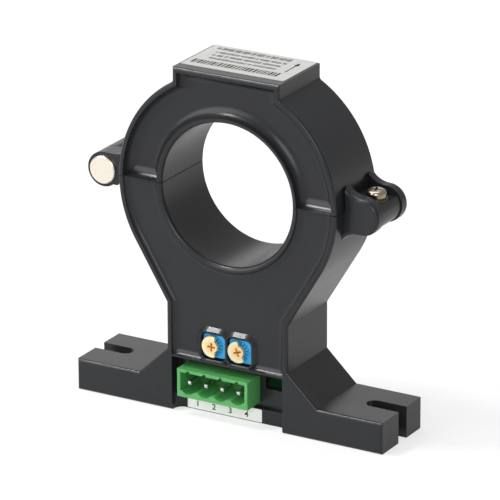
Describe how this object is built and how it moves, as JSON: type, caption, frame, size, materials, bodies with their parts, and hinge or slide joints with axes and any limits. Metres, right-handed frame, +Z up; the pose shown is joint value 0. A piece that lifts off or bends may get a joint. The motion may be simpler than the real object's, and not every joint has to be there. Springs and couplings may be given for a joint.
{
  "type": "split ring current sensor",
  "caption": "Hinged split ring current sensor on a slotted base, with a clasp screw, trimmer windows and a pluggable terminal header.",
  "frame": {"origin": "centre of the base's underside, midway between the feet and between the front and back faces", "axes": "+X along the base to the clasp, +Y along the bore from the terminal face to the back, +Z up"},
  "size_m": [0.0948, 0.0243, 0.098],
  "materials": {
    "black_housing": "moulded, semi-gloss black",
    "nickel_plate": "bright nickel plate",
    "spring_steel": "blued spring steel",
    "brass_insert": "turned brass",
    "core_steel": "wound strip steel",
    "chip_moulding": "moulded epoxy",
    "tinned_wire": "tinned wire",
    "can_aluminium": "drawn can",
    "board_laminate": "glass epoxy board with solder mask",
    "green_terminal": "moulded green nylon",
    "tinned_pin": "tinned brass",
    "trimmer_blue": "moulded blue thermoplastic",
    "trimmer_cream": "moulded cream thermoplastic",
    "silver_label": "satin silver film",
    "white_label": "white film"
  },
  "bodies": {
    "lower_half": {"lower_housing": "black_housing", "lower_back_cover": "black_housing", "board_screws": "nickel_plate", "clamp_insert": "brass_insert", "core_lower_left": "core_steel", "core_lower_right": "core_steel", "hall_element": "chip_moulding", "amplifier_chip": "chip_moulding", "regulator_chip": "chip_moulding", "hall_leads": "tinned_wire", "trimmer_leads": "tinned_wire", "capacitors": "can_aluminium", "chip_resistors": "chip_moulding", "circuit_board": "board_laminate", "terminal_housing": "green_terminal", "terminal_pin_1": "tinned_pin", "terminal_pin_2": "tinned_pin", "terminal_pin_3": "tinned_pin", "terminal_pin_4": "tinned_pin", "trimmer_zero_base": "trimmer_blue", "trimmer_span_base": "trimmer_blue", "terminal_label": "white_label"},
    "upper_half": {"upper_housing": "black_housing", "upper_back_cover": "black_housing", "core_upper": "core_steel", "hinge_pin": "nickel_plate", "hinge_clip": "spring_steel", "top_label": "silver_label"},
    "clasp_screw": {"clamp_screw": "nickel_plate", "flat_washer": "nickel_plate", "spring_washer": "nickel_plate"},
    "zero_rotor": {"trimmer_zero_rotor": "trimmer_cream"},
    "span_rotor": {"trimmer_span_rotor": "trimmer_cream"}
  },
  "joints": [
    {"name": "ring_hinge", "type": "hinge", "parent": "lower_half", "child": "upper_half", "pos_m": [-0.0396, 0, 0.0645], "axis": [0, -1, 0], "range_deg": [0, 100]},
    {"name": "screw_lift", "type": "slide", "parent": "upper_half", "child": "clasp_screw", "axis": [0, 0, 1], "range_m": [0, 0.006]},
    {"name": "zero_trim", "type": "hinge", "parent": "lower_half", "child": "zero_rotor", "pos_m": [-0.0049, -0.01085, 0.0205], "axis": [0, -1, 0], "range_deg": [-115, 115]},
    {"name": "span_trim", "type": "hinge", "parent": "lower_half", "child": "span_rotor", "pos_m": [0.00318, -0.01085, 0.0205], "axis": [0, -1, 0], "range_deg": [-115, 115]}
  ]
}
